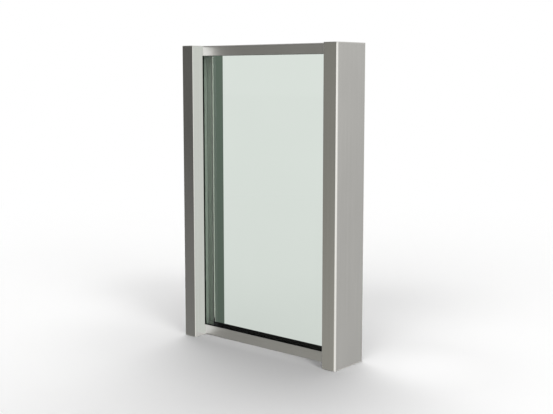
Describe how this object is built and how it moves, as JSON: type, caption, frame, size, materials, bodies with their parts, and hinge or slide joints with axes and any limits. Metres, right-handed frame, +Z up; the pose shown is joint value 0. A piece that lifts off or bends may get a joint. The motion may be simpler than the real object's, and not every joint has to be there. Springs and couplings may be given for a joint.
{
  "type": "bulletproof window",
  "caption": "Fixed bullet-resistant window: thick laminated glass held in shallow head and sill channels between two deep brushed stainless steel jambs with glazing pockets.",
  "frame": {"origin": "centre of the base, on the floor under the middle of the window", "axes": "+Z up the window, +X along its width to the right as seen from the front, -Y out of the front face"},
  "size_m": [0.663, 0.15, 1.016],
  "materials": {
    "stainless_steel": "vertical brushed satin",
    "laminated_glass": "clear, slightly green",
    "interlayer": "clear",
    "black_rubber": "matte",
    "grey_tape": "matte"
  },
  "bodies": {
    "root": {"left_jamb": "stainless_steel", "right_jamb": "stainless_steel", "left_jamb_foot_plate": "stainless_steel", "right_jamb_foot_plate": "stainless_steel", "left_jamb_top_plate": "stainless_steel", "right_jamb_top_plate": "stainless_steel", "sill_channel": "stainless_steel", "head_channel": "stainless_steel", "glass_ply_1": "laminated_glass", "glass_ply_2": "laminated_glass", "glass_ply_3": "laminated_glass", "glass_ply_4": "laminated_glass", "interlayer_1": "interlayer", "interlayer_2": "interlayer", "interlayer_3": "interlayer", "sill_front_gasket": "black_rubber", "sill_rear_gasket": "black_rubber", "head_front_gasket": "black_rubber", "head_rear_gasket": "black_rubber", "left_jamb_front_gasket": "black_rubber", "right_jamb_front_gasket": "black_rubber", "left_setting_block": "black_rubber", "right_setting_block": "black_rubber", "left_jamb_rear_tape": "grey_tape", "right_jamb_rear_tape": "grey_tape"}
  },
  "joints": []
}
